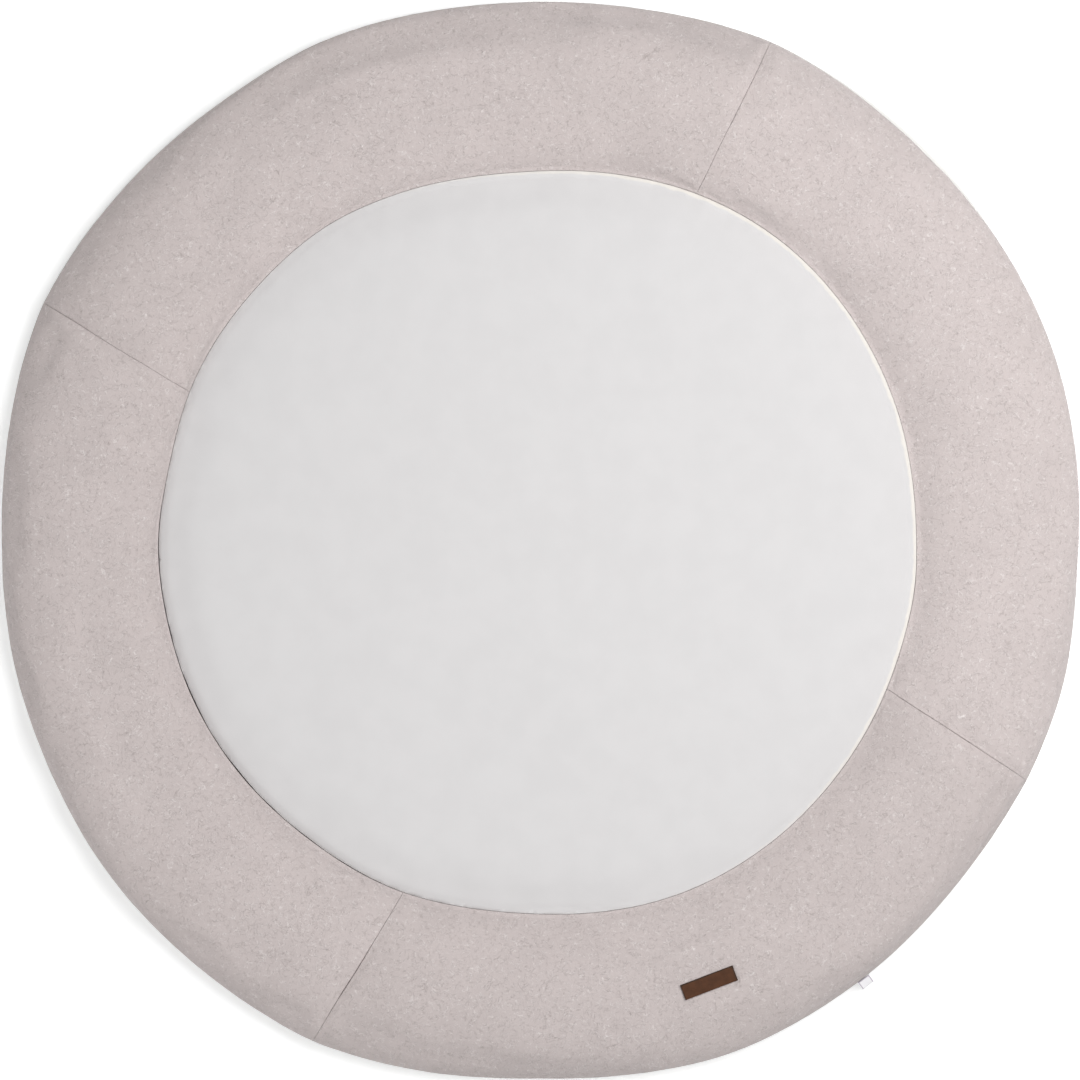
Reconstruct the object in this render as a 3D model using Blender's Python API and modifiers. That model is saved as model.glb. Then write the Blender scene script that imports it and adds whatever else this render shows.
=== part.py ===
"""Round playpen mat with a white jersey centre and a knitted border of four panels.

Metres, +Z up. The mat lies on z = 0 with the middle of its outline on the Z axis.
Angles are in degrees, counter-clockwise from +X, seen from above.
The filled pieces are lofted, because every section of the uneven ring differs.
"""
import math
from collections import namedtuple

import bmesh
import bpy
from mathutils import Matrix, Vector

NAME = "knitted_playpen_mat"

# Cloth and clearances
GAP = 0.0003
BACKING_CLOTH = 0.002
PAD_BASE = BACKING_CLOTH + GAP

# Outline of the mat: one row for each swell and flat of its edge.
# outer is the edge of the knit, inner the seam round the centre, crown the height of
# the border, peak where it is highest, from 0 at the inner seam to 1 at the edge, and
# roll how broadly it falls to the edge, from 0, full, to 1, rounded.
Row = namedtuple("Row", "deg outer inner crown peak roll")
OUTLINE = [
    Row(0, 0.4760, 0.3325, 0.046, 0.50, 0.0),
    Row(10, 0.4785, 0.3335, 0.046, 0.52, 0.0),
    Row(20, 0.4820, 0.3360, 0.047, 0.52, 0.0),
    Row(48, 0.4825, 0.3395, 0.048, 0.50, 0.0),
    Row(65, 0.4850, 0.3360, 0.047, 0.48, 0.1),
    Row(80, 0.4780, 0.3295, 0.045, 0.46, 0.6),
    Row(95, 0.4760, 0.3255, 0.043, 0.42, 1.0),
    Row(114, 0.4815, 0.3315, 0.046, 0.42, 0.9),
    Row(124, 0.4790, 0.3355, 0.044, 0.42, 0.8),
    Row(138, 0.4815, 0.3355, 0.046, 0.42, 0.8),
    Row(155, 0.4860, 0.3365, 0.047, 0.40, 0.6),
    Row(169, 0.4795, 0.3340, 0.046, 0.38, 0.4),
    Row(180, 0.4760, 0.3375, 0.046, 0.36, 0.3),
    Row(193, 0.4780, 0.3370, 0.047, 0.36, 0.3),
    Row(205, 0.4790, 0.3375, 0.047, 0.36, 0.3),
    Row(217, 0.4825, 0.3365, 0.046, 0.38, 0.4),
    Row(233, 0.4840, 0.3340, 0.045, 0.40, 0.5),
    Row(246, 0.4860, 0.3345, 0.046, 0.42, 0.7),
    Row(262, 0.4790, 0.3305, 0.045, 0.44, 0.6),
    Row(270, 0.4760, 0.3305, 0.045, 0.46, 0.5),
    Row(290, 0.4835, 0.3360, 0.046, 0.48, 0.3),
    Row(305, 0.4820, 0.3365, 0.046, 0.48, 0.2),
    Row(322, 0.4780, 0.3350, 0.046, 0.50, 0.2),
    Row(344, 0.4805, 0.3330, 0.046, 0.50, 0.1),
    Row(353, 0.4765, 0.3340, 0.046, 0.50, 0.0),
]

# The four seams across the border, each a straight line from the inner seam outwards.
Seam = namedtuple("Seam", "name inner_deg outer_deg")
SEAM_A = Seam("A", 65.6, 65.1)
SEAM_B = Seam("B", 157.1, 154.5)
SEAM_C = Seam("C", 248.8, 245.6)
SEAM_D = Seam("D", 336.8, 333.7)
Panel = namedtuple("Panel", "name start end")
PANELS = [
    Panel("border_right", SEAM_D, SEAM_A),
    Panel("border_top", SEAM_A, SEAM_B),
    Panel("border_left", SEAM_B, SEAM_C),
    Panel("border_bottom", SEAM_C, SEAM_D),
]

# Underside: the backing lies flat and curls up to the perimeter seam
CURL_WIDTH = 0.030
CURL_HEIGHT = 0.015
CURL_END = math.radians(62)
CURL_STEPS = 4
NOSE_HEIGHT = 0.003

# White edge of the backing that shows past the knit at the upper right
LIP_REACH = 0.003
LIP_MIDDLE = 43
LIP_HALF_SPAN = 25
LIP_SHARPNESS = 4

# Border section
INNER_SEAM_HEIGHT = 0.022
INNER_FULLNESS = 2
INNER_ROUNDNESS = 1.25
FULL_EDGE = (3, 3)
ROUND_EDGE = (2, 1.5)
TOP_STEPS = 14

# Seams across the border: a shallow groove, with sections close together beside it
GROOVE_DEPTH = 0.0022
GROOVE_WIDTH = 0.007
SEAM_SETBACK = 0.0002
SECTIONS_BY_SEAM = (SEAM_SETBACK, 0.003, 0.008, 0.016)
SECTION_SPACING = 0.030

# Centre
CENTRE_CROWN = 0.032
CENTRE_FULLNESS = 3.4
CENTRE_ROUNDNESS = 1.9
CENTRE_RINGS = (0.985, 0.95, 0.9, 0.82, 0.7, 0.5, 0.28, 0.08)

# Leather tag, sewn along the crown of the bottom panel
TAG_LENGTH = 0.0495
TAG_WIDTH = 0.014
TAG_THICKNESS = 0.0015
TAG_RADIUS = 0.4174
TAG_DEG = 290.9
TAG_CELLS = (10, 4)
TAG_START_HEIGHT = 0.1

# Folded care label in the perimeter seam
LABEL_DEG = 306.4
LABEL_WIDTH = 0.012
LABEL_REACH = 0.007
LABEL_CLOTH = 0.001
LABEL_FOLD_RADIUS = 0.0008
LABEL_FOLD_STEPS = 4
LABEL_DROOP = math.radians(8)
LABEL_SETBACK = 0.0005

# Material, colour (linear), roughness
KNIT = ("knit_greige", (0.58, 0.515, 0.497), 0.95)
JERSEY = ("jersey_white", (0.78, 0.78, 0.77), 0.9)
COTTON = ("cotton_white", (0.80, 0.80, 0.78), 0.9)
LEATHER = ("leather_brown", (0.127, 0.058, 0.032), 0.55)
SATIN = ("satin_white", (0.80, 0.80, 0.80), 0.5)


def clear_scene():
    for obj in list(bpy.data.objects):
        bpy.data.objects.remove(obj)


def make_collection():
    collection = bpy.data.collections.new(NAME)
    bpy.context.scene.collection.children.link(collection)
    return collection


def make_material(name, colour, roughness):
    material = bpy.data.materials.new(name)
    material.use_nodes = True
    shader = material.node_tree.nodes["Principled BSDF"]
    shader.inputs["Base Color"].default_value = (*colour, 1)
    shader.inputs["Roughness"].default_value = roughness
    shader.inputs["Metallic"].default_value = 0
    return material


def add_object(name, mesh, finish, collection):
    mesh.materials.append(make_material(*finish))
    mesh.shade_smooth()
    mesh.set_sharp_from_angle(angle=math.radians(40))
    obj = bpy.data.objects.new(name, mesh)
    collection.objects.link(obj)
    return obj


def loft(name, rings, finish, collection):
    """Join closed rings of equally many points into one solid with a cap at each end."""
    shape = bmesh.new()
    loops = [[shape.verts.new(point) for point in ring] for ring in rings]
    for low, high in zip(loops, loops[1:]):
        for i in range(len(low)):
            j = (i + 1) % len(low)
            shape.faces.new((low[i], low[j], high[j], high[i]))
    shape.faces.new(loops[0])
    shape.faces.new(loops[-1])
    bmesh.ops.recalc_face_normals(shape, faces=shape.faces)
    mesh = bpy.data.meshes.new(name)
    shape.to_mesh(mesh)
    shape.free()
    return add_object(name, mesh, finish, collection)


def mix(start, end, share):
    return start + (end - start) * share


def slope(before, after, field):
    """Slope of one column between two rows, for each degree."""
    turn = (after.deg - before.deg) % 360
    return (getattr(after, field) - getattr(before, field)) / turn


def outline_at(deg):
    """The outline's row at any angle, on a smooth closed curve through the table."""
    deg = deg % 360
    i = max(k for k, row in enumerate(OUTLINE) if row.deg <= deg)
    before, low, high, after = (OUTLINE[(i + k) % len(OUTLINE)] for k in (-1, 0, 1, 2))
    span = (high.deg - low.deg) % 360
    s = (deg - low.deg) / span
    values = []
    for field in Row._fields[1:]:
        leave = slope(before, high, field) * span
        arrive = slope(low, after, field) * span
        start = getattr(low, field)
        rise = getattr(high, field) - start
        values.append(
            start + s * leave
            + s * s * (3 * rise - 2 * leave - arrive)
            + s * s * s * (leave + arrive - 2 * rise)
        )
    return Row(deg, *values)


def on_circle(radius, deg):
    turn = math.radians(deg)
    return Vector((radius * math.cos(turn), radius * math.sin(turn), 0))


def lip_at(deg):
    """How far the backing reaches past the knit."""
    offset = (deg - LIP_MIDDLE + 180) % 360 - 180
    if abs(offset) >= LIP_HALF_SPAN:
        return 0
    return LIP_REACH * math.cos(math.pi / 2 * offset / LIP_HALF_SPAN) ** 2


class Section:
    """A straight cut across the border, from the inner seam to the edge."""

    def __init__(self, inner_deg, outer_deg, seam_distance):
        inner_row = outline_at(inner_deg)
        outer_row = outline_at(outer_deg)
        self.inner = on_circle(inner_row.inner, inner_deg)
        self.outer = on_circle(outer_row.outer, outer_deg)
        self.width = (self.outer - self.inner).length
        self.outward = (self.outer - self.inner).normalized()
        self.peak = outer_row.peak
        self.fullness, self.roundness = (
            mix(full, rounded, outer_row.roll) for full, rounded in zip(FULL_EDGE, ROUND_EDGE)
        )
        self.lip = lip_at(outer_deg)
        groove = GROOVE_DEPTH * math.exp(-((seam_distance / GROOVE_WIDTH) ** 2))
        self.crown = outer_row.crown - groove

    def dome(self, place):
        """Share of the crown's height, from -1 at the inner seam to 1 at the edge."""
        fullness, roundness = self.fullness, self.roundness
        if place < 0:
            fullness, roundness = INNER_FULLNESS, INNER_ROUNDNESS
        return (1 - abs(place) ** fullness) ** (1 / roundness)

    def point(self, from_edge, height):
        """A point at a distance in from the edge, and at a height."""
        return self.outer - self.outward * from_edge + Vector((0, 0, height))


def panel_sections(panel):
    """Sections along a panel, evenly spaced but closer together beside its seams."""
    sweep_in = (panel.end.inner_deg - panel.start.inner_deg) % 360
    sweep_out = (panel.end.outer_deg - panel.start.outer_deg) % 360
    middle_radius = (OUTLINE[0].inner + OUTLINE[0].outer) / 2
    length = math.radians((sweep_in + sweep_out) / 2) * middle_radius
    plain = length - 2 * SECTIONS_BY_SEAM[-1]
    steps = round(plain / SECTION_SPACING)
    places = list(SECTIONS_BY_SEAM)
    places += [SECTIONS_BY_SEAM[-1] + plain * k / steps for k in range(1, steps)]
    places += [length - place for place in reversed(SECTIONS_BY_SEAM)]
    sections = []
    for place in places:
        share = place / length
        inner_deg = panel.start.inner_deg + sweep_in * share
        outer_deg = panel.start.outer_deg + sweep_out * share
        sections.append(Section(inner_deg, outer_deg, min(place, length - place)))
    return sections


def curl_profile(offset, top, lip=0):
    """The rising underside near the edge, offset upwards and cut level at its top.

    Returns (from_edge, height) points. The lip draws the last of them outwards.
    """
    rise = CURL_HEIGHT / (1 - math.cos(CURL_END))
    run = CURL_WIDTH / math.sin(CURL_END)
    points = []
    for k in range(CURL_STEPS + 1):
        turn = CURL_END * k / CURL_STEPS
        out = math.sin(turn) / math.sin(CURL_END)
        steepness = math.atan2(rise * math.sin(turn), run * math.cos(turn))
        flat_edge = CURL_WIDTH * (1 - out) - lip * out ** LIP_SHARPNESS
        from_edge = flat_edge + offset * math.sin(steepness)
        height = rise * (1 - math.cos(turn)) + offset * math.cos(steepness)
        points.append((from_edge, height))
    before, last = points[-2:]
    share = (top - before[1]) / (last[1] - before[1])
    points[-1] = (mix(before[0], last[0], share), top)
    return points


def border_profile(section):
    """Closed section of a border panel: flat base, curled edge, nose, crown, inner wall."""
    inner_edge = section.width - GAP / 2
    nose_low = CURL_HEIGHT + GAP
    nose_high = nose_low + NOSE_HEIGHT
    points = [(inner_edge, PAD_BASE)]
    points += curl_profile(PAD_BASE, nose_low)
    points += [(0, nose_low), (0, nose_high)]
    skew = math.log(section.peak) / math.log(0.5)
    for k in range(1, TOP_STEPS):
        place = math.cos(math.pi * k / TOP_STEPS)
        across = ((place + 1) / 2) ** skew
        seam_line = mix(INNER_SEAM_HEIGHT, nose_high, across)
        height = mix(seam_line, section.crown, section.dome(place))
        points.append((inner_edge * (1 - across), height))
    points.append((inner_edge, INNER_SEAM_HEIGHT))
    return points


def make_border_panel(panel, sections, collection):
    rings = []
    for section in sections:
        rings.append([section.point(*place) for place in border_profile(section)])
    return loft(panel.name, rings, KNIT, collection)


def make_centre_pad(sections, collection):
    """The filled centre: flat base, straight wall at the seam and a low crown."""

    def ring(share, height):
        return [
            (section.inner - section.inner.normalized() * GAP / 2) * share
            + Vector((0, 0, height))
            for section in sections
        ]

    rings = [ring(1, PAD_BASE), ring(1, INNER_SEAM_HEIGHT)]
    for share in CENTRE_RINGS:
        dome = (1 - share ** CENTRE_FULLNESS) ** (1 / CENTRE_ROUNDNESS)
        rings.append(ring(share, mix(INNER_SEAM_HEIGHT, CENTRE_CROWN, dome)))
    return loft("centre_pad", rings, JERSEY, collection)


def make_backing(sections, collection):
    """One round cloth, flat on the floor and curled up to the perimeter seam."""
    over = curl_profile(BACKING_CLOTH, CURL_HEIGHT)
    under = [curl_profile(0, CURL_HEIGHT, section.lip) for section in sections]
    rings = []
    for k in range(CURL_STEPS + 1):
        rings.append([s.point(*profile[k]) for s, profile in zip(sections, under)])
    for place in reversed(over):
        rings.append([section.point(*place) for section in sections])
    return loft("backing", rings, COTTON, collection)


def make_leather_tag(panel, collection):
    """A thin plate that follows the crown of the panel it is sewn to."""
    shape = bmesh.new()
    cells_along, cells_across = TAG_CELLS
    size = Matrix.Diagonal((TAG_LENGTH / 2, TAG_WIDTH / 2, 1, 1))
    turned = Matrix.Rotation(math.radians(TAG_DEG - 270), 4, "Z")
    middle = on_circle(TAG_RADIUS, TAG_DEG) + Vector((0, 0, TAG_START_HEIGHT))
    placed = Matrix.Translation(middle)
    bmesh.ops.create_grid(
        shape,
        x_segments=cells_along,
        y_segments=cells_across,
        size=1,
        matrix=placed @ turned @ size,
    )
    mesh = bpy.data.meshes.new("leather_tag")
    shape.to_mesh(mesh)
    shape.free()
    tag = add_object("leather_tag", mesh, LEATHER, collection)
    lie = tag.modifiers.new("lie on the border", "SHRINKWRAP")
    lie.target = panel
    lie.wrap_method = "PROJECT"
    lie.wrap_mode = "ABOVE_SURFACE"
    lie.use_project_z = True
    lie.use_negative_direction = True
    lie.use_positive_direction = False
    lie.offset = GAP
    leather = tag.modifiers.new("leather", "SOLIDIFY")
    leather.thickness = TAG_THICKNESS
    leather.offset = 1
    return tag


def make_care_label(collection):
    """A folded strip that stands out of the perimeter seam and droops a little."""
    straight = LABEL_REACH - LABEL_FOLD_RADIUS - LABEL_CLOTH / 2
    profile = [(0, -LABEL_FOLD_RADIUS)]
    for k in range(LABEL_FOLD_STEPS + 1):
        turn = math.pi * (k / LABEL_FOLD_STEPS - 0.5)
        out = straight + LABEL_FOLD_RADIUS * math.cos(turn)
        profile.append((out, LABEL_FOLD_RADIUS * math.sin(turn)))
    profile.append((0, LABEL_FOLD_RADIUS))
    root = outline_at(LABEL_DEG).outer + LABEL_SETBACK
    root_height = CURL_HEIGHT + GAP + NOSE_HEIGHT / 2
    placed = (
        Matrix.Translation(on_circle(root, LABEL_DEG) + Vector((0, 0, root_height)))
        @ Matrix.Rotation(math.radians(LABEL_DEG), 4, "Z")
        @ Matrix.Rotation(LABEL_DROOP, 4, "Y")
    )
    shape = bmesh.new()
    corners = [
        shape.verts.new(placed @ Vector((out, -LABEL_WIDTH / 2, up))) for out, up in profile
    ]
    edges = [shape.edges.new(pair) for pair in zip(corners, corners[1:])]
    strip = bmesh.ops.extrude_edge_only(shape, edges=edges)
    far_side = [item for item in strip["geom"] if isinstance(item, bmesh.types.BMVert)]
    across = placed.to_3x3() @ Vector((0, LABEL_WIDTH, 0))
    bmesh.ops.translate(shape, verts=far_side, vec=across)
    mesh = bpy.data.meshes.new("care_label")
    shape.to_mesh(mesh)
    shape.free()
    label = add_object("care_label", mesh, SATIN, collection)
    cloth = label.modifiers.new("cloth", "SOLIDIFY")
    cloth.thickness = LABEL_CLOTH
    cloth.offset = 0
    return label


def build():
    clear_scene()
    collection = make_collection()
    ring = []
    panels = {}
    for panel in PANELS:
        sections = panel_sections(panel)
        panels[panel.name] = make_border_panel(panel, sections, collection)
        ring += sections[:-1]
    make_centre_pad(ring, collection)
    make_backing(ring, collection)
    make_leather_tag(panels["border_bottom"], collection)
    make_care_label(collection)


build()
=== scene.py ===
"""Looks of the round playpen mat: knitted border, jersey centre, backing, tag and label.

Metres, in the frame of the CAD nodes: +Z up, the middle of the mat on the Z axis.
Each piece starts as a copy of its CAD node. The filled ones are inflated as cloth and
then drawn in at their seams by moving points.
"""

import math
from collections import namedtuple

import bpy
import numpy as np
from bpy.props import FloatProperty, FloatVectorProperty, PointerProperty
from bpy.types import Operator, Panel, PropertyGroup
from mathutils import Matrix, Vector, noise


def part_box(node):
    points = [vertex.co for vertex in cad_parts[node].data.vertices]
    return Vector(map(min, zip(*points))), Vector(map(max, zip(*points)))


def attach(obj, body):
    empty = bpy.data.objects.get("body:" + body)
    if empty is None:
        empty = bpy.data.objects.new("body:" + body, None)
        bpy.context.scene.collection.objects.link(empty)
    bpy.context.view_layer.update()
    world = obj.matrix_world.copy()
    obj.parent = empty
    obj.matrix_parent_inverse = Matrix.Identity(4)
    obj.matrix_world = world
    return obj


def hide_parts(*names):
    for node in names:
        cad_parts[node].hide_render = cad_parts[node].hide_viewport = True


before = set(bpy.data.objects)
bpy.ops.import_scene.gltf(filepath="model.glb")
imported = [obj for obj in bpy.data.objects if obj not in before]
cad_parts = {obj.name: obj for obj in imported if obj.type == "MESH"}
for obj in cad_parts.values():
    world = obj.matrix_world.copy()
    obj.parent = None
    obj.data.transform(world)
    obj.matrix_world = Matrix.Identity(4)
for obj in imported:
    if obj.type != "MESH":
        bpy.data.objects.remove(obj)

bl_info = {
    "name": "Knitted playpen mat",
    "version": (1, 0, 0),
    "blender": (4, 5, 0),
    "location": "3D View > Sidebar > Playpen mat",
    "description": "Makes the filled, sewn and finished pieces of a round playpen mat",
    "category": "Object",
}

BODY = "root"
FULL_TURN = 2 * math.pi

# Seams across the border, as angles at the inner seam and at the edge of the mat
Seam = namedtuple("Seam", "inner_deg outer_deg")
SEAM_A = Seam(65.6, 65.1)
SEAM_B = Seam(157.1, 154.5)
SEAM_C = Seam(248.8, 245.6)
SEAM_D = Seam(336.8, 333.7)

# Each panel runs counter-clockwise between two seams; tone is painted light, not the knit's own
# colour: the right panel lighter, the bottom and left ones darker, for the sheen and the light
# falling from the right
Cut = namedtuple("Cut", "name node start end tone")
CUTS = [
    Cut("knit_border_right", "border_right", SEAM_D, SEAM_A, 1.02),
    Cut("knit_border_top", "border_top", SEAM_A, SEAM_B, 0.98),
    Cut("knit_border_left", "border_left", SEAM_B, SEAM_C, 0.985),
    Cut("knit_border_bottom", "border_bottom", SEAM_C, SEAM_D, 0.96),
]

# Clearance between sewn pieces, and the height of the sewn edges
GAP = 0.0003
SEAM_GAP = 0.0002
SEAM_WAVER = 0.0005
SEAM_SETBACK = 0.0002
INNER_SEAM_HEIGHT = 0.022
NOSE_TOP = 0.0183
BORDER_CROWN = 0.046

# Rough radii, that turn an angle into a length along the inner and the outer edge
INNER_RADIUS = 0.335
MIDDLE_RADIUS = 0.40
OUTER_RADIUS = 0.48

SIM_FRAMES = 20
RELAX_PASSES = 6
SHARP_ANGLE = math.radians(35)
SMOOTH_ANGLE = math.radians(60)
SEAM_REACH = 0.0012

# Directions in degrees, counter-clockwise from +X
NARROW_ROLL_DEG, BROAD_ROLL_DEG = 78, 111
CREASE_DEG, LOW_SIDE_DEG = 210, 205
GATHERS_LEFT_DEG, GATHERS_RIGHT_DEG = 140, 50

FLOOR_SIZE = 30
FLOOR_HEIGHT = -0.0004
CAMERA_HEIGHT = 9.0
CAMERA_LENS = 338.8


def colour(name, description, value):
    return FloatVectorProperty(
        name=name, description=description, default=value,
        subtype="COLOR", size=3, min=0, max=1,
    )


def length(name, description, value):
    return FloatProperty(
        name=name, description=description, default=value, unit="LENGTH", precision=4
    )


def share(name, description, value):
    return FloatProperty(name=name, description=description, default=value)


def power(name, description, value):
    return FloatProperty(name=name, description=description, default=value, unit="POWER")


class BorderSettings(PropertyGroup):
    pressure: share("Filling pressure", "Pressure of the filling on the knit", 1.5)
    growth: share("Spare cloth", "How much more cloth there is than the filling needs", 0.012)
    reach: length("Swelling", "Furthest that the filling pushes the knit", 0.003)
    seam_depth: length("Seam depth", "How deep the stitched line itself is drawn in", 0.0006)
    seam_width: length("Seam width", "How far from a seam the cloth is drawn down", 0.0024)
    pucker: length("Puckers", "Height of the puckers along the sewn edges", 0.0005)
    unevenness: length("Unevenness", "Rise and fall of the filling under the knit", 0.0012)
    roll: length("Roll", "How far the outer edge falls at the top of the mat", 0.003)
    colour: colour("Knit", "Ground colour of the knit", (0.590, 0.523, 0.511))
    light: colour("Light fleck", "Colour of the light fibres in the yarn", (0.78, 0.725, 0.71))
    # The dark fleck colour also paints shade into the hollows between the stitches.
    dark: colour("Dark fleck", "Colour of the dark fibres in the yarn", (0.40, 0.35, 0.335))
    wale: length("Wale", "Width of one column of stitches", 0.0019)
    course: length("Course", "Height of one row of stitches", 0.0015)


class CentreSettings(PropertyGroup):
    voxel: length("Grid", "Cell size of the cloth that is inflated", 0.006)
    pressure: share("Filling pressure", "Pressure of the filling on the jersey", 1.5)
    growth: share("Spare cloth", "How much more cloth there is than the filling needs", 0.008)
    reach: length("Swelling", "Furthest that the filling pushes the jersey", 0.003)
    pucker: length("Puckers", "Height of the gathers along the inner seam", 0.0004)
    unevenness: length("Unevenness", "Rise and fall of the thin filling", 0.0008)
    crease: length("Crease", "Width of the open crease beside the seam at the left", 0.0009)
    rim: length("Rim", "Height of the jersey's edge over the seam at the right", 0.0004)
    sink: length("Sink", "How much lower that edge lies at the left", 0.0030)
    drop: length("Drop", "How much the jersey slopes down to the seam at the left", 0.0012)
    colour: colour("Jersey", "Colour of the jersey", (0.652, 0.640, 0.641))
    # Cream of the seam thread and edge, also used as a painted highlight that is strong along the
    # lit right side of the inner seam and faint at the left.
    seam_thread_and_highlight: colour(
        "Seam thread", "Cream thread and edge at the inner seam", (0.79, 0.75, 0.69)
    )
    wale: length("Wale", "Width of one column of stitches", 0.0011)
    grain: FloatProperty(
        name="Grain", description="Turn of the jersey's grain on the mat",
        default=math.radians(17), subtype="ANGLE",
    )


class BackingSettings(PropertyGroup):
    ripple: length("Ripple", "Unevenness of the sewn rim", 0.0004)
    colour: colour("Cotton", "Colour of the cotton backing", (0.83, 0.83, 0.81))
    thread: length("Thread", "Spacing of the threads of the weave", 0.0006)


class TagSettings(PropertyGroup):
    bevel: length("Rounding", "Radius of the worn upper edge", 0.00035)
    colour: colour("Leather", "Colour of the leather", (0.088, 0.036, 0.017))
    rim_colour: colour("Burnished rim", "Colour of the burnished rim", (0.045, 0.024, 0.015))


class LabelSettings(PropertyGroup):
    tuck: length("Tuck", "How far the cut ends reach to the seam", 0.0006)
    rim_colour: colour("Rim", "Colour of the woven border of the label", (0.50, 0.46, 0.52))
    colour: colour("Satin", "Colour of the satin ribbon", (0.82, 0.81, 0.83))
    thread: length("Thread", "Spacing of the threads of the ribbon", 0.0003)


class StageSettings(PropertyGroup):
    floor: colour("Floor", "Colour of the floor", (0.97, 0.97, 0.97))
    glow: share("Floor glow", "Own light of the white floor", 0.2)
    key: power("Key light", "Power above right", 31)
    side: power("Side light", "Power at the right", 7.5)
    fill: power("Fill light", "Power at lower left", 15)
    room: share("Room", "Brightness of the white room", 0.28)


# Meshes

def only(obj):
    """Selects one object alone and makes it the active one."""
    bpy.ops.object.select_all(action="DESELECT")
    obj.select_set(True)
    bpy.context.view_layer.objects.active = obj


def edit(obj, select="SELECT"):
    only(obj)
    bpy.ops.object.mode_set(mode="EDIT")
    bpy.ops.mesh.select_all(action=select)


def finish_edit():
    bpy.ops.object.mode_set(mode="OBJECT")


def coordinates(obj):
    flat = np.empty(len(obj.data.vertices) * 3)
    obj.data.vertices.foreach_get("co", flat)
    return flat.reshape(-1, 3)


def place(obj, points):
    obj.data.vertices.foreach_set("co", points.ravel())
    obj.data.update()


def normals(obj):
    flat = np.empty(len(obj.data.vertices) * 3)
    obj.data.vertex_normals.foreach_get("vector", flat)
    return flat.reshape(-1, 3)


def store(obj, name, values, kind="FLOAT"):
    """Keeps a number or a vector for each point, for the material to read."""
    attribute = obj.data.attributes.new(name, kind, "POINT")
    field = "value" if kind == "FLOAT" else "vector"
    attribute.data.foreach_set(field, np.ascontiguousarray(values, dtype=np.float32).ravel())


def copy_node(node, name):
    """A new object with a merged copy of a CAD node's mesh, in quads where it had them."""
    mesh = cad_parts[node].data.copy()
    mesh.name = name
    mesh.materials.clear()
    while mesh.uv_layers:
        mesh.uv_layers.remove(mesh.uv_layers[0])
    obj = bpy.data.objects.new(name, mesh)
    bpy.context.scene.collection.objects.link(obj)
    edit(obj)
    bpy.ops.mesh.customdata_custom_splitnormals_clear()
    bpy.ops.mesh.remove_doubles(threshold=0.00002)
    bpy.ops.mesh.tris_convert_to_quads(
        face_threshold=math.radians(50), shape_threshold=math.radians(60)
    )
    bpy.ops.mesh.mark_sharp(clear=True)
    finish_edit()
    return obj


def apply_modifier(obj, kind, **settings):
    only(obj)
    modifier = obj.modifiers.new(kind.lower(), kind)
    for key, value in settings.items():
        setattr(modifier, key, value)
    bpy.ops.object.modifier_apply(modifier=modifier.name)


def subdivide(obj, levels):
    apply_modifier(obj, "SUBSURF", levels=levels, render_levels=levels)


def crease_sharp_edges(obj):
    """Keeps the sewn corners of a piece when it is subdivided."""
    edit(obj, "DESELECT")
    bpy.ops.mesh.select_mode(type="EDGE")
    bpy.ops.mesh.edges_select_sharp(sharpness=SHARP_ANGLE)
    bpy.ops.transform.edge_crease(value=1)
    bpy.ops.mesh.select_mode(type="VERT")
    finish_edit()


def crease_round(obj, points_inside):
    """Creases the outline of the faces whose points are all in the mask."""
    mesh = obj.data
    corners = np.empty(len(mesh.loops), int)
    mesh.loops.foreach_get("vertex_index", corners)
    starts = np.empty(len(mesh.polygons), int)
    mesh.polygons.foreach_get("loop_start", starts)
    inside = np.logical_and.reduceat(points_inside[corners], starts)
    edit(obj, "DESELECT")
    bpy.ops.mesh.select_mode(type="FACE")
    finish_edit()
    mesh.polygons.foreach_set("select", inside)
    bpy.ops.object.mode_set(mode="EDIT")
    bpy.ops.mesh.region_to_loop()
    bpy.ops.transform.edge_crease(value=1)
    bpy.ops.mesh.select_mode(type="VERT")
    finish_edit()


def relaxed(mesh, moved, held):
    """Evens out how far neighbouring points have moved, so that no hard buckle stays."""
    ends = np.empty(len(mesh.edges) * 2, int)
    mesh.edges.foreach_get("vertices", ends)
    first, second = ends.reshape(-1, 2).T
    neighbours = np.bincount(ends, minlength=len(moved))[:, None]
    for _ in range(RELAX_PASSES):
        total = np.zeros_like(moved)
        np.add.at(total, first, moved[second])
        np.add.at(total, second, moved[first])
        moved = 0.5 * (moved + total / neighbours)
        moved[held] = 0
    return moved


def inflate(obj, held, pressure, growth, reach):
    """Inflates a piece as cloth. held is a mask of the points that are sewn down."""
    start = coordinates(obj)
    sewn = obj.vertex_groups.new(name="sewn")
    sewn.add(np.flatnonzero(held).tolist(), 1, "REPLACE")
    only(obj)
    modifier = obj.modifiers.new("cloth", "CLOTH")
    cloth = modifier.settings
    cloth.vertex_group_mass = sewn.name
    cloth.use_pressure = True
    cloth.uniform_pressure_force = pressure
    cloth.shrink_min = -growth
    cloth.effector_weights.gravity = 0
    modifier.collision_settings.use_collision = False
    modifier.point_cache.frame_end = SIM_FRAMES
    for step in range(1, SIM_FRAMES + 1):
        bpy.context.scene.frame_set(step)
    bpy.ops.object.modifier_apply(modifier=modifier.name)
    bpy.context.scene.frame_set(1)
    obj.vertex_groups.clear()
    moved = relaxed(obj.data, coordinates(obj) - start, held)
    travel = np.linalg.norm(moved, axis=1, keepdims=True)
    limited = reach * np.tanh(travel / reach)
    place(obj, start + moved * limited / np.maximum(travel, 1e-9))


def shade_smooth(obj):
    only(obj)
    bpy.ops.object.shade_smooth_by_angle(angle=SMOOTH_ANGLE)


def replace(obj, slot, *nodes):
    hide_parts(*nodes)
    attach(obj, BODY)


# Unevenness of cloth and filling

def wander(points, scale, seed):
    """Smooth noise from about -1 to 1 at each point; scale is the size of its swells."""
    offset = Vector((seed * 7.3, seed * 3.1, seed * 5.7))
    values = [noise.noise(Vector(point) / scale + offset) for point in points]
    return np.array(values) * 1.6


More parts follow.
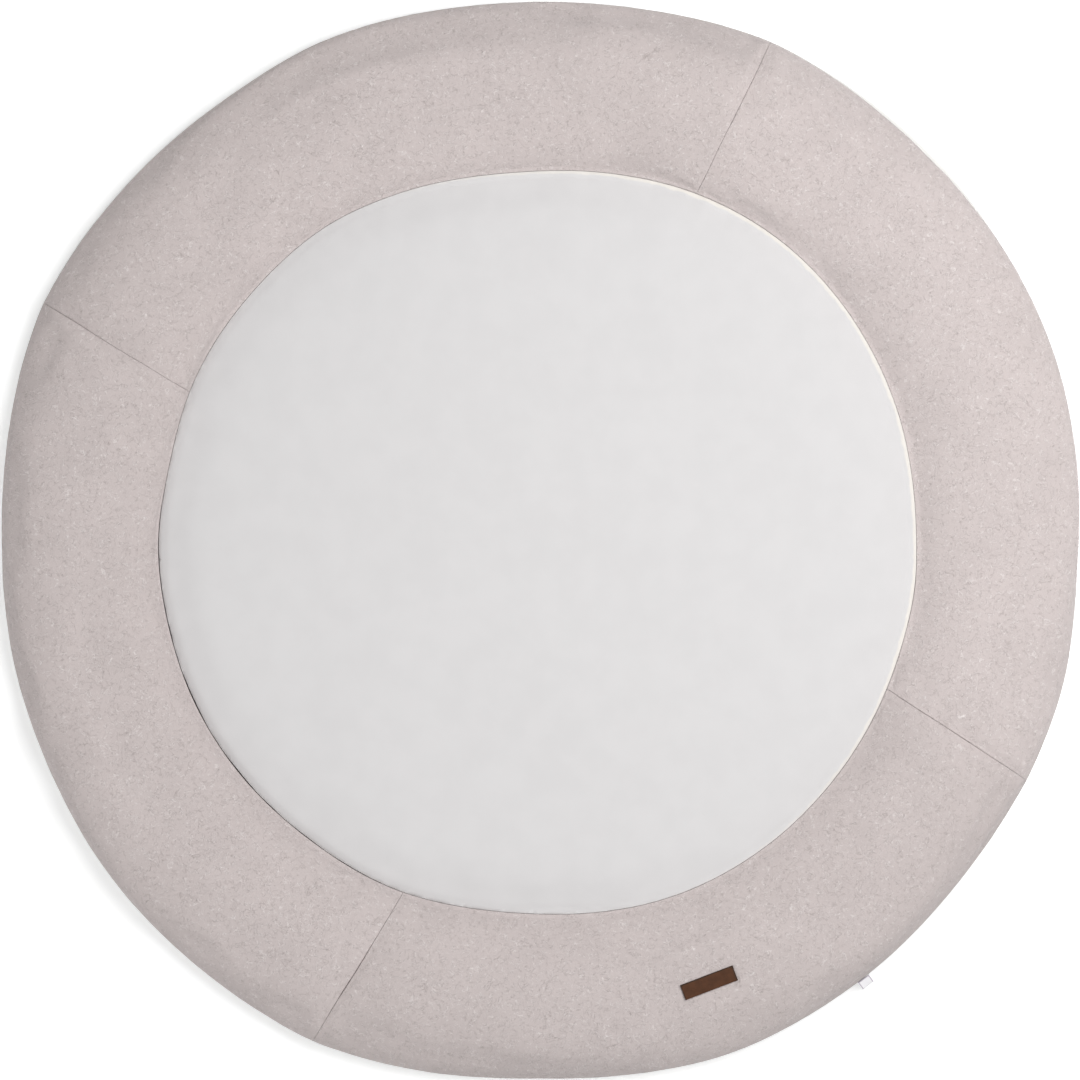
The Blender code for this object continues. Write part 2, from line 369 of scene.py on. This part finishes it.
def swells(along, pitch, seed):
    """Uneven waves along an edge, for gathers; along is a distance in metres."""
    points = np.zeros((len(along), 3))
    points[:, 0] = along
    return wander(points, pitch, seed) + 0.5 * wander(points, pitch * 0.57, seed + 1)


class Edge:
    """A closed edge round the mat: its radius at any angle."""

    STEPS = 1440
    BLUR = 5

    def __init__(self, points):
        angle = np.arctan2(points[:, 1], points[:, 0])
        radius = np.hypot(points[:, 0], points[:, 1])
        order = np.argsort(angle)
        self.angles = np.linspace(-math.pi, math.pi, self.STEPS, endpoint=False)
        table = np.interp(self.angles, angle[order], radius[order], period=FULL_TURN)
        reach = np.arange(-3 * self.BLUR, 3 * self.BLUR + 1)
        weights = np.exp(-0.5 * (reach / self.BLUR) ** 2)
        weights /= weights.sum()
        self.table = sum(w * np.roll(table, k) for w, k in zip(weights, reach))

    def at(self, angle):
        return np.interp(angle, self.angles, self.table, period=FULL_TURN)


def node_points(*names):
    return np.vstack([coordinates(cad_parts[name]) for name in names])


def inner_edge():
    """The seam round the centre, from the wall of the CAD node."""
    points = node_points("centre_pad")
    low = points[points[:, 2] < INNER_SEAM_HEIGHT / 2]
    return Edge(low[np.hypot(low[:, 0], low[:, 1]) > 0.3])


def outer_edge():
    """The edge of the knit, from the noses of the CAD panels."""
    points = node_points(*[cut.node for cut in CUTS])
    height = points[:, 2]
    nose = points[(height > 0.0152) & (height < NOSE_TOP + 0.0001)]
    return Edge(nose[np.hypot(nose[:, 0], nose[:, 1]) > 0.46])


def on_edge(edge, deg):
    turn = math.radians(deg)
    turn = math.atan2(math.sin(turn), math.cos(turn))
    radius = float(edge.at(turn))
    return np.array([radius * math.cos(turn), radius * math.sin(turn)])


def seam_direction(seam, inner, outer):
    """Unit vectors along a seam and across it, to its counterclockwise side."""
    along = on_edge(outer, seam.outer_deg) - on_edge(inner, seam.inner_deg)
    along /= np.linalg.norm(along)
    return along, np.array([-along[1], along[0]])


def from_seam(points, seam, inner, outer, side):
    """Distance from a seam's upright plane, positive on the panel's side of it."""
    across = seam_direction(seam, inner, outer)[1]
    return side * (points[:, :2] - on_edge(inner, seam.inner_deg)) @ across


def polar(points):
    return np.hypot(points[:, 0], points[:, 1]), np.arctan2(points[:, 1], points[:, 0])


# Materials

class Value:
    """A socket that Python's operators add Math nodes to."""

    def __init__(self, finish, socket):
        self.finish = finish
        self.socket = socket

    def __add__(self, other):
        return self.finish.math("ADD", self, other)

    def __radd__(self, other):
        return self.finish.math("ADD", other, self)

    def __sub__(self, other):
        return self.finish.math("SUBTRACT", self, other)

    def __rsub__(self, other):
        return self.finish.math("SUBTRACT", other, self)

    def __mul__(self, other):
        return self.finish.math("MULTIPLY", self, other)

    def __rmul__(self, other):
        return self.finish.math("MULTIPLY", other, self)

    def __truediv__(self, other):
        return self.finish.math("DIVIDE", self, other)

    def __pow__(self, other):
        return self.finish.math("POWER", self, other)

    def __abs__(self):
        return self.finish.math("ABSOLUTE", self)


class Finish:
    """A material with a Principled shader, and the nodes that feed it."""

    def __init__(self, name, roughness, **constants):
        self.material = bpy.data.materials.new(name)
        self.material.use_nodes = True
        self.tree = self.material.node_tree
        self.shader = self.tree.nodes["Principled BSDF"]
        self.shader.inputs["Roughness"].default_value = roughness
        for key, value in constants.items():
            self.shader.inputs[key.replace("_", " ").title()].default_value = value

    def feed(self, socket, value):
        if isinstance(value, Value):
            self.tree.links.new(value.socket, socket)
        elif isinstance(value, (tuple, list)) and socket.type == "RGBA":
            socket.default_value = (*value[:3], 1)
        else:
            socket.default_value = value

    def node(self, kind, settings=None, inputs=None, output=0):
        """Adds a node, sets it up, feeds its sockets and returns one of its outputs."""
        node = self.tree.nodes.new(kind)
        for key, value in (settings or {}).items():
            setattr(node, key, value)
        for key, value in (inputs or {}).items():
            self.feed(node.inputs[key], value)
        return Value(self, node.outputs[output])

    def math(self, operation, *values):
        settings = {"operation": operation}
        return self.node("ShaderNodeMath", settings, dict(enumerate(values)))

    def vector(self, operation, *values):
        settings = {"operation": operation}
        return self.node("ShaderNodeVectorMath", settings, dict(enumerate(values)))

    def position(self):
        return self.node("ShaderNodeTexCoord", output="Object")

    def attribute(self, name, output="Fac"):
        return self.node("ShaderNodeAttribute", {"attribute_name": name}, output=output)

    def parts(self, vector):
        first = self.node("ShaderNodeSeparateXYZ", inputs={0: vector})
        return [Value(self, socket) for socket in first.socket.node.outputs]

    def joined(self, x, y):
        return self.node("ShaderNodeCombineXYZ", inputs={0: x, 1: y})

    def noise(self, vector, scale, detail=2.0, roughness=0.5, distortion=0.0):
        inputs = {
            "Vector": vector, "Scale": scale, "Detail": detail,
            "Roughness": roughness, "Distortion": distortion,
        }
        return self.node("ShaderNodeTexNoise", inputs=inputs)

    def step(self, value, low, high, bottom=0.0, top=1.0):
        """A smooth rise from bottom to top while the value goes from low to high."""
        settings = {"interpolation_type": "SMOOTHSTEP", "clamp": True}
        inputs = {
            "Value": value, "From Min": low, "From Max": high, "To Min": bottom, "To Max": top,
        }
        return self.node("ShaderNodeMapRange", settings, inputs)

    def mix(self, factor, first, second):
        settings = {"data_type": "RGBA", "clamp_factor": True}
        return self.node("ShaderNodeMix", settings, {0: factor, 6: first, 7: second}, output=2)

    def bump(self, height, distance, strength):
        inputs = {"Height": height, "Distance": distance, "Strength": strength}
        return self.node("ShaderNodeBump", inputs=inputs)

    def set(self, name, value):
        self.feed(self.shader.inputs[name], value)

    def dress(self, obj):
        obj.data.materials.clear()
        obj.data.materials.append(self.material)


def tinted(value, tone):
    return tuple(min(1, channel * tone) for channel in value)


def squiggles(finish, position, scale, width, seed):
    """Short curly lines, as loose fibres leave on the face of a knit."""
    offset = finish.vector("ADD", position, (seed * 1.37, seed * 2.11, seed * 0.73))
    field = finish.noise(offset, scale, detail=1.5, distortion=0.6)
    line = 1 - finish.step(abs(field - 0.5), 0.0, width)
    breaks = finish.noise(offset, scale * 0.9, detail=1.0)
    return line * finish.step(breaks, 0.47, 0.56)


def knit_stitches(finish, flat, wale, course):
    """Height of plain knitting: two leaning legs to each stitch."""
    u, v, _ = finish.parts(flat)
    column = u / wale
    from_middle = abs(finish.math("FRACT", column) - 0.5)
    leg = 1 - (abs(from_middle - 0.25) * 4) ** 2
    row = finish.math("FRACT", v / course + from_middle * 1.4)
    loop = 1 - (abs(row - 0.5) * 2) ** 2
    return leg * (0.45 + 0.55 * loop)


def knit_finish(settings, cut):
    name = f"marled {cut.node.replace('_', ' ')}"
    finish = Finish(name, 0.95, sheen_weight=0.15, sheen_roughness=0.6)
    finish.shader.inputs["Specular IOR Level"].default_value = 0.2
    position = finish.position()
    flat = finish.attribute("flat", "Vector")
    waver = finish.noise(flat, 260, detail=1.0) - 0.5
    bent = finish.vector("ADD", flat, finish.joined(waver * 0.0012, waver * 0.0009))
    stitches = knit_stitches(finish, bent, settings.wale, settings.course)
    light = squiggles(finish, position, 240, 0.036, 1) + squiggles(finish, position, 125, 0.018, 2)
    dark = squiggles(finish, position, 220, 0.036, 3) + squiggles(finish, position, 115, 0.018, 4)
    patches = finish.step(finish.noise(position, 24, detail=3.0), 0.3, 0.7)
    # Painted light: cut.tone lightens the right panel and darkens the bottom and left ones, over
    # the random patches.
    ground = finish.mix(
        patches, tinted(settings.colour, cut.tone * 0.975), tinted(settings.colour, cut.tone * 1.02)
    )
    # Painted shade: the knit is darkened towards the dark fleck colour in the hollows between the
    # stitches.
    hollows = finish.step(stitches, 0.0, 0.5)
    ground = finish.mix(0.12 - 0.12 * hollows, ground, tinted(settings.dark, cut.tone))
    marled = finish.mix(dark * 0.46, ground, tinted(settings.dark, cut.tone))
    marled = finish.mix(light * 0.56, marled, tinted(settings.light, cut.tone))
    finish.set("Base Color", marled)
    fibres = finish.noise(position, 900, detail=2.0)
    height = stitches * 0.6 + (light - dark) * 0.5 + fibres * 0.5
    finish.set("Normal", finish.bump(height, 0.0004, 0.8))
    finish.set("Roughness", 0.9 + 0.08 * fibres)
    return finish


def jersey_finish(settings):
    finish = Finish("white jersey", 0.9, sheen_weight=0.1, sheen_roughness=0.5)
    finish.shader.inputs["Specular IOR Level"].default_value = 0.25
    position = finish.position()
    turned = finish.node(
        "ShaderNodeMapping", {"vector_type": "POINT"},
        {"Vector": position, "Rotation": (0, 0, settings.grain)},
    )
    waver = finish.noise(position, 30, detail=2.0) - 0.5
    bent = finish.vector("ADD", turned, finish.joined(waver * 0.006, waver * 0.004))
    stitches = knit_stitches(finish, bent, settings.wale, settings.wale * 0.8)
    slub = finish.noise(position, 40, detail=4.0)
    seam = finish.attribute("seam")
    fold = finish.noise(position, 90, detail=2.0)
    x, y, _ = finish.parts(position)
    # Partly painted highlight: the cream band at the inner seam is the seam's thread and edge, made
    # wider and stronger towards the right and upper right where the light falls, and faint at the
    # left.
    right = finish.step(x + y * 0.5, -0.05, 0.3)
    inside = seam + (fold - 0.5) * 0.004
    edge = 1 - finish.step(inside, 0.0006 + 0.0014 * right, 0.0018 + 0.0024 * right)
    edge = edge * (0.1 + 0.65 * right)
    ground = finish.mix(
        finish.step(slub, 0.3, 0.7), tinted(settings.colour, 0.985), tinted(settings.colour, 1.01)
    )
    finish.set("Base Color", finish.mix(edge, ground, settings.seam_thread_and_highlight[:]))
    fibres = finish.noise(position, 1400, detail=2.0)
    finish.set("Normal", finish.bump(stitches * 0.35 + fibres * 0.5 + slub * 0.8, 0.00018, 0.6))
    finish.set("Roughness", 0.86 + 0.1 * fibres)
    return finish


def cotton_finish(settings):
    finish = Finish("white cotton", 0.9, sheen_weight=0.1)
    finish.shader.inputs["Specular IOR Level"].default_value = 0.25
    position = finish.position()
    x, y, _ = finish.parts(position)
    warp = finish.math("SINE", x * (FULL_TURN / settings.thread))
    weft = finish.math("SINE", y * (FULL_TURN / settings.thread))
    slub = finish.noise(position, 60, detail=4.0)
    ground = finish.mix(
        finish.step(slub, 0.3, 0.7), tinted(settings.colour, 0.97), settings.colour[:]
    )
    finish.set("Base Color", ground)
    finish.set("Normal", finish.bump(warp * weft * 0.5 + slub, 0.00015, 0.6))
    finish.set("Roughness", 0.84 + 0.12 * slub)
    return finish


def leather_finish(settings):
    finish = Finish("brown leather", 0.5)
    finish.shader.inputs["Specular IOR Level"].default_value = 0.12
    position = finish.position()
    rim = finish.attribute("rim")
    cells = finish.node(
        "ShaderNodeTexVoronoi", {"feature": "DISTANCE_TO_EDGE"}, {"Vector": position, "Scale": 1100}
    )
    grain = finish.step(cells, 0.0, 0.25)
    cloudy = finish.noise(position, 130, detail=5.0, roughness=0.6)
    worn = finish.mix(
        finish.step(cloudy, 0.3, 0.72), tinted(settings.colour, 0.85), tinted(settings.colour, 1.15)
    )
    burnish = 1 - finish.step(rim + (cloudy - 0.5) * 0.0008, 0.0009, 0.0018)
    worn = finish.mix(0.25 - 0.25 * grain, worn, settings.rim_colour[:])
    finish.set("Base Color", finish.mix(burnish, worn, settings.rim_colour[:]))
    finish.set("Roughness", 0.42 + 0.2 * cloudy - 0.08 * burnish)
    finish.set("Normal", finish.bump(grain * 0.7 + cloudy * 0.8, 0.00012, 0.7))
    return finish


def satin_finish(settings):
    finish = Finish("white satin", 0.38)
    position = finish.position()
    flat = finish.attribute("flat", "Vector")
    u, _, _ = finish.parts(flat)
    threads = finish.math("SINE", u * (FULL_TURN / settings.thread))
    cloudy = finish.noise(position, 300, detail=3.0)
    white = finish.mix(cloudy, tinted(settings.colour, 0.96), settings.colour[:])
    border = 1 - finish.step(finish.attribute("rim"), 0.0007, 0.0014)
    finish.set("Base Color", finish.mix(border, white, settings.rim_colour[:]))
    finish.set("Normal", finish.bump(threads * 0.5 + cloudy, 0.00005, 0.6))
    finish.set("Roughness", 0.34 + 0.12 * cloudy)
    return finish


def floor_finish(settings):
    finish = Finish(
        "pale floor", 0.9, emission_color=(1, 1, 1, 1), emission_strength=settings.glow
    )
    position = finish.position()
    cloudy = finish.noise(position, 3, detail=3.0)
    finish.set("Base Color", finish.mix(cloudy, tinted(settings.floor, 0.99), settings.floor[:]))
    return finish


# Pieces

def lay_flat(points, radius, angle, cut):
    """Each point's place on the flat cut panel, its wales along the panel's middle."""
    middle = cut.start.inner_deg + ((cut.end.inner_deg - cut.start.inner_deg) % 360) / 2
    below = np.maximum(0, BORDER_CROWN - points[:, 2])
    side = np.tanh((radius - MIDDLE_RADIUS) / 0.02)
    flat_radius = radius + 0.7 * side * below
    turn = angle - math.radians(middle)
    return np.column_stack((
        flat_radius * np.sin(turn), flat_radius * np.cos(turn), np.zeros(len(radius))
    ))


def seat_of_tag(points, clearance):
    """Mask of the points under the leather tag."""
    low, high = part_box("leather_tag")
    inside = points[:, 2] > BORDER_CROWN - 0.012
    for axis in (0, 1):
        inside &= points[:, axis] > low[axis] - clearance
        inside &= points[:, axis] < high[axis] + clearance
    return inside


def draw_in_panel(obj, cut, inner, outer, settings):
    """Seams, gathers and an uneven filling, by moving the points along their normals."""
    points = coordinates(obj)
    outward = normals(obj)
    radius, angle = polar(points)
    from_start = from_seam(points, cut.start, inner, outer, 1)
    from_end = from_seam(points, cut.end, inner, outer, -1)
    from_ends = np.minimum(from_start, from_end)
    for seam in (cut.start, cut.end):
        across = np.append(seam_direction(seam, inner, outer)[1], 0)
        near = np.exp(-np.abs(from_seam(points, seam, inner, outer, 1)) / 0.002)
        outward -= (near * (outward @ across))[:, None] * across
    height = points[:, 2]
    from_inner = np.maximum(0, radius - inner.at(angle))
    from_inner += np.maximum(0, height - INNER_SEAM_HEIGHT) * 0.5
    from_outer = np.maximum(0, outer.at(angle) - radius)
    from_outer += np.maximum(0, height - NOSE_TOP) * 0.5
    top = np.clip((height - INNER_SEAM_HEIGHT) / 0.004, 0, 1)
    seam_pull = np.exp(-(from_ends / settings.seam_width))
    move = -settings.seam_depth * seam_pull
    across = swells(radius, 0.011, 3)
    move += 0.9 * settings.pucker * across * np.exp(-from_ends / 0.011) * (1 - seam_pull)
    along_inner = angle * INNER_RADIUS
    move += settings.pucker * swells(along_inner, 0.011, 5) * np.exp(-from_inner / 0.013)
    along_outer = angle * OUTER_RADIUS
    move += settings.pucker * swells(along_outer, 0.015, 7) * np.exp(-from_outer / 0.016)
    inside = (1 - np.exp(-from_inner / 0.02)) * (1 - np.exp(-from_outer / 0.02))
    uneven = wander(points, 0.10, 11) + 0.45 * wander(points, 0.045, 12)
    uneven += 0.12 * wander(points, 0.018, 13)
    move += settings.unevenness * uneven * inside
    move[seat_of_tag(points, 0.001)] = 0
    points += outward * (move * top)[:, None]
    inward = np.maximum(0, outer.at(angle) - radius)
    above = np.clip((points[:, 2] - NOSE_TOP) / 0.004, 0, 1)
    points[:, 2] += settings.roll * above * (
        0.7 * window(angle, NARROW_ROLL_DEG, 16) * roll_shape(inward, 0.020)
        + 1.3 * window(angle, BROAD_ROLL_DEG, 20) * roll_shape(inward, 0.036)
    )
    place(obj, points)


def window(angle, middle, half):
    """A smooth weight of 1 within so many degrees of a direction."""
    turn = (np.degrees(angle) - middle + 180) % 360 - 180
    return np.exp(-((turn / half) ** 4))


def roll_shape(inward, width):
    """Lowers a band along the outer edge and fills out the band inside it."""
    dip = np.where(inward < width, np.sin(math.pi * inward / width), 0)
    fill = np.clip((inward - width) / (1.6 * width), 0, 1)
    return 0.45 * np.sin(math.pi * fill) - dip


def tightened(distance, gap, reach=SEAM_REACH):
    """Distances from a seam, with all that lie within its reach brought up to the gap."""
    free = np.clip((distance - reach) / (2 * reach), 0, 1)
    return gap + (distance - gap) * free * free * (3 - 2 * free)


def close_seams(obj, cut, inner, outer):
    """Brings the panel's ends and its inner edge up to their seams."""
    points = coordinates(obj)
    for seam, side in ((cut.start, 1), (cut.end, -1)):
        away = side * seam_direction(seam, inner, outer)[1]
        distance = from_seam(points, seam, inner, outer, side)
        wanted = tightened(distance, SEAM_GAP / 2)
        waver = side * SEAM_WAVER * swells(np.hypot(*points[:, :2].T), 0.05, seam.inner_deg)
        wanted += waver * np.exp(-wanted / 0.008)
        points[:, :2] += (wanted - distance)[:, None] * away
    radius, angle = polar(points)
    distance = radius - inner.at(angle)
    low = np.clip((INNER_SEAM_HEIGHT + 0.0025 - points[:, 2]) / 0.0015, 0, 1)
    wanted = np.maximum(distance + low * (tightened(distance, GAP / 2) - distance), GAP / 2)
    points[:, :2] *= (1 + (wanted - distance) / radius)[:, None]
    place(obj, points)


def make_panel(cut, inner, outer, settings):
    obj = copy_node(cut.node, cut.name)
    crease_sharp_edges(obj)
    subdivide(obj, 2)
    points = coordinates(obj)
    radius, angle = polar(points)
    from_ends = np.minimum(
        from_seam(points, cut.start, inner, outer, 1), from_seam(points, cut.end, inner, outer, -1)
    )
    held = (points[:, 2] < NOSE_TOP + 0.0006) | (from_ends < 0.0012)
    held |= (points[:, 2] < INNER_SEAM_HEIGHT + 0.0006) & (radius < inner.at(angle) + 0.004)
    held |= seat_of_tag(points, 0.003)
    inflate(obj, held, settings.pressure, settings.growth, settings.reach)
    crease_sharp_edges(obj)
    crease_round(obj, from_ends < 2 * SEAM_SETBACK)
    subdivide(obj, 1)
    draw_in_panel(obj, cut, inner, outer, settings)
    close_seams(obj, cut, inner, outer)
    points = coordinates(obj)
    radius, angle = polar(points)
    store(obj, "flat", lay_flat(points, radius, angle, cut), "FLOAT_VECTOR")
    knit_finish(settings, cut).dress(obj)
    shade_smooth(obj)
    replace(obj, "knit", cut.node)
    return obj


class PLAYMAT_OT_border(Operator):
    """Inflates the four knitted panels and draws them in at their seams"""
    bl_idname = "playmat.border"
    bl_label = "Knitted border"

    def execute(self, context):
        inner, outer = inner_edge(), outer_edge()
        for cut in CUTS:
            make_panel(cut, inner, outer, context.scene.playmat_border)
        return {"FINISHED"}


class PLAYMAT_OT_centre(Operator):
    """Inflates the jersey centre and gathers it at the inner seam"""
    bl_idname = "playmat.centre"
    bl_label = "Jersey centre"

    def execute(self, context):
        settings = context.scene.playmat_centre
        inner = inner_edge()
        obj = copy_node("centre_pad", "jersey_centre")
        apply_modifier(obj, "REMESH", mode="VOXEL", voxel_size=settings.voxel)
        apply_modifier(obj, "SMOOTH", factor=0.5, iterations=4)
        points = coordinates(obj)
        radius, angle = polar(points)
        held = (points[:, 2] < INNER_SEAM_HEIGHT - 0.002) | (inner.at(angle) - radius < 0.003)
        inflate(obj, held, settings.pressure, settings.growth, settings.reach)
        subdivide(obj, 1)
        points = coordinates(obj)
        outward = normals(obj)
        radius, angle = polar(points)
        wall = Edge(points[(np.abs(outward[:, 2]) < 0.25) & (radius > 0.31)])
        near = np.maximum(0, inner.at(angle) - radius)
        push = (inner.at(angle) - GAP / 2 - wall.at(angle)) * np.clip(1 - near / 0.02, 0, 1)
        near = np.maximum(GAP / 2, near - push)
        slack = settings.crease * window(angle, CREASE_DEG, 36)
        slack *= np.clip(0.7 + 0.5 * swells(angle * INNER_RADIUS, 0.03, 51), 0.1, 1.5)
        near = tightened(near, GAP / 2, 0.0016) + slack * np.exp(-near / 0.004)
        points[:, :2] *= ((inner.at(angle) - near) / radius)[:, None]
        left = 0.5 + 0.5 * np.cos(angle - math.radians(LOW_SIDE_DEG))
        corner = np.clip(1 - near / 0.006, 0, 1) * (outward[:, 2] > 0.2)
        seam_line = INNER_SEAM_HEIGHT + settings.rim - settings.sink * left
        seam_line += 0.0030 * np.minimum(1, near / 0.006) ** 0.7
        points[:, 2] += corner * (seam_line - points[:, 2])
        top = np.clip(outward[:, 2] * 2, 0, 1)
        gathers = swells(angle * INNER_RADIUS, 0.012, 21) * np.exp(-near / 0.016)
        upper_left = 0.5 + 0.5 * np.cos(angle - math.radians(GATHERS_LEFT_DEG))
        upper_right = np.exp(-(((angle - math.radians(GATHERS_RIGHT_DEG)) / 0.35) ** 2))
        move = settings.pucker * gathers * (0.15 + 0.9 * upper_left ** 2 + 1.2 * upper_right)
        uneven = wander(points, 0.11, 31) + 0.5 * wander(points, 0.04, 32) * (0.3 + upper_left)
        move += settings.unevenness * uneven * (1 - np.exp(-near / 0.02))
        move -= settings.drop * left * np.exp(-near / 0.022)
        points[:, 2] += move * top
        place(obj, points)
        radius, angle = polar(points)
        store(obj, "seam", inner.at(angle) - radius)
        jersey_finish(settings).dress(obj)
        shade_smooth(obj)
        replace(obj, "jersey", "centre_pad")
        return {"FINISHED"}


class PLAYMAT_OT_backing(Operator):
    """Smooths the round cotton cloth under the mat and ripples its curled rim"""
    bl_idname = "playmat.backing"
    bl_label = "Cotton backing"

    def execute(self, context):
        settings = context.scene.playmat_backing
        obj = copy_node("backing", "cotton_backing")
        crease_sharp_edges(obj)
        subdivide(obj, 2)
        points = coordinates(obj)
        radius, angle = polar(points)
        rise = np.clip((points[:, 2] - 0.004) / 0.011, 0, 1)
        waves = np.clip(swells(angle * OUTER_RADIUS, 0.016, 41), -1, 1)
        ripple = settings.ripple * (0.5 + 0.5 * waves) * rise
        points[:, :2] *= (1 + ripple / radius)[:, None]
        place(obj, points)
        cotton_finish(settings).dress(obj)
        shade_smooth(obj)
        replace(obj, "cotton", "backing")
        return {"FINISHED"}


def from_rim(points):
    """Distance of each point from the outline of the tag, seen from above."""
    centred = points[:, :2] - points[:, :2].mean(axis=0)
    along = np.linalg.svd(centred, full_matrices=False)[2]
    local = np.abs(centred @ along.T)
    return (local.max(axis=0) - local).min(axis=1)


class PLAYMAT_OT_leather_tag(Operator):
    """Rounds the worn edge of the leather tag and finishes its leather"""
    bl_idname = "playmat.leather_tag"
    bl_label = "Leather tag"

    def execute(self, context):
        settings = context.scene.playmat_tag
        obj = copy_node("leather_tag", "leather_tag_plate")
        apply_modifier(
            obj, "BEVEL", width=settings.bevel, segments=3, limit_method="ANGLE",
            angle_limit=math.radians(50),
        )
        edit(obj)
        bpy.ops.mesh.subdivide(number_cuts=3)
        finish_edit()
        leather_finish(settings).dress(obj)
        store(obj, "rim", from_rim(coordinates(obj)))
        shade_smooth(obj)
        replace(obj, "leather", "leather_tag")
        return {"FINISHED"}


class PLAYMAT_OT_care_label(Operator):
    """Smooths the folded satin label and tucks its cut ends into the seam"""
    bl_idname = "playmat.care_label"
    bl_label = "Care label"

    def execute(self, context):
        settings = context.scene.playmat_label
        obj = copy_node("care_label", "satin_label")
        crease_sharp_edges(obj)
        subdivide(obj, 3)
        points = coordinates(obj)
        radius, _ = polar(points)
        root = np.clip(1 - (radius - radius.min()) / 0.003, 0, 1)
        points[:, :2] *= (1 - settings.tuck * root / radius)[:, None]
        place(obj, points)
        store(obj, "flat", coordinates(obj), "FLOAT_VECTOR")
        store(obj, "rim", from_rim(coordinates(obj)))
        satin_finish(settings).dress(obj)
        shade_smooth(obj)
        replace(obj, "satin", "care_label")
        return {"FINISHED"}


class PLAYMAT_OT_stage(Operator):
    """Lays the pale floor and sets the soft lights and the camera"""
    bl_idname = "playmat.stage"
    bl_label = "Floor, light and camera"

    def execute(self, context):
        settings = context.scene.playmat_stage
        bpy.ops.object.select_all(action="DESELECT")
        bpy.ops.mesh.primitive_plane_add(size=FLOOR_SIZE, location=(0, 0, FLOOR_HEIGHT))
        floor = context.active_object
        floor.name = "floor"
        floor_finish(settings).dress(floor)
        context.scene.view_settings.view_transform = "Standard"
        self.add_light("key", settings.key, 1.6, (0.71, 0.38, 1.8))
        self.add_light("side", settings.side, 2.0, (1.7, 0.0, 1.7))
        self.add_light("fill", settings.fill, 2.0, (-1.40, -1.05, 1.6))
        world = context.scene.world or bpy.data.worlds.new("room")
        context.scene.world = world
        world.use_nodes = True
        background = world.node_tree.nodes["Background"]
        background.inputs["Color"].default_value = (1, 1, 1, 1)
        background.inputs["Strength"].default_value = settings.room
        bpy.ops.object.camera_add(location=(0, 0, CAMERA_HEIGHT), rotation=(0, 0, 0))
        camera = context.active_object
        camera.name = "camera"
        camera.data.lens = CAMERA_LENS
        context.scene.camera = camera
        return {"FINISHED"}

    def add_light(self, name, power, size, location):
        bpy.ops.object.light_add(type="AREA", location=location)
        light = bpy.context.active_object
        light.name = name
        light.data.energy = power
        light.data.shape = "DISK"
        light.data.size = size
        light.rotation_euler = Vector(location).to_track_quat("Z", "Y").to_euler()


class VIEW3D_PT_playpen_mat(Panel):
    """Buttons for each piece of the mat"""
    bl_label = "Playpen mat"
    bl_space_type = "VIEW_3D"
    bl_region_type = "UI"
    bl_category = "Playpen mat"

    def draw(self, context):
        for operator in OPERATORS:
            self.layout.operator(operator.bl_idname)


SETTINGS = {
    "playmat_border": BorderSettings,
    "playmat_centre": CentreSettings,
    "playmat_backing": BackingSettings,
    "playmat_tag": TagSettings,
    "playmat_label": LabelSettings,
    "playmat_stage": StageSettings,
}
OPERATORS = [
    PLAYMAT_OT_border,
    PLAYMAT_OT_centre,
    PLAYMAT_OT_backing,
    PLAYMAT_OT_leather_tag,
    PLAYMAT_OT_care_label,
    PLAYMAT_OT_stage,
]


def register():
    for name, group in SETTINGS.items():
        bpy.utils.register_class(group)
        setattr(bpy.types.Scene, name, PointerProperty(type=group))
    for item in [*OPERATORS, VIEW3D_PT_playpen_mat]:
        bpy.utils.register_class(item)


def unregister():
    for item in [*OPERATORS, VIEW3D_PT_playpen_mat]:
        bpy.utils.unregister_class(item)
    for name, group in SETTINGS.items():
        delattr(bpy.types.Scene, name)
        bpy.utils.unregister_class(group)


def main():
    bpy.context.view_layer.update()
    register()
    bpy.ops.playmat.border()
    bpy.ops.playmat.centre()
    bpy.ops.playmat.backing()
    bpy.ops.playmat.leather_tag()
    bpy.ops.playmat.care_label()
    bpy.ops.playmat.stage()


if __name__ == "__main__":
    main()
